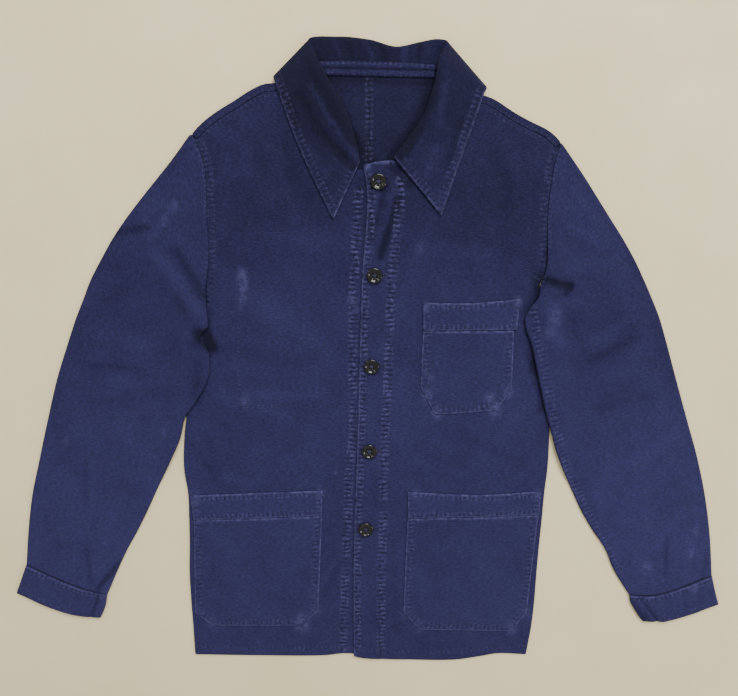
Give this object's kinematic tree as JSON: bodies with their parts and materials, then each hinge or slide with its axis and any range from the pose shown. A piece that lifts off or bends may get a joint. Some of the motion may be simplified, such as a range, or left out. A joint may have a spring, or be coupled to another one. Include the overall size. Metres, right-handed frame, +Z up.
{
  "type": "chore jacket",
  "caption": "Long-sleeved cotton work jacket with a fold-over collar and patch pockets, buttoned and laid flat on its back.",
  "frame": {"origin": "middle of the jacket's footprint on the floor it lies on", "axes": "+X towards the wearer's left cuff, +Y towards the neck, +Z up out of the floor, towards the buttons"},
  "size_m": [0.9228, 0.7852, 0.0155],
  "materials": {
    "indigo_cotton": "soft matt twill, a little faded",
    "dark_horn": "polished dark horn"
  },
  "bodies": {
    "root": {"back_panel_right": "indigo_cotton", "back_panel_left": "indigo_cotton", "inside_pocket": "indigo_cotton", "front_right": "indigo_cotton", "front_left": "indigo_cotton", "chest_pocket": "indigo_cotton", "chest_band": "indigo_cotton", "lower_pocket_left": "indigo_cotton", "lower_band_left": "indigo_cotton", "lower_pocket_right": "indigo_cotton", "lower_band_right": "indigo_cotton", "sleeve_right": "indigo_cotton", "sleeve_left": "indigo_cotton", "cuff_right": "indigo_cotton", "cuff_left": "indigo_cotton", "collar": "indigo_cotton", "neck_strip": "indigo_cotton", "button_1": "dark_horn", "button_2": "dark_horn", "button_3": "dark_horn", "button_4": "dark_horn", "button_5": "dark_horn"}
  },
  "joints": []
}
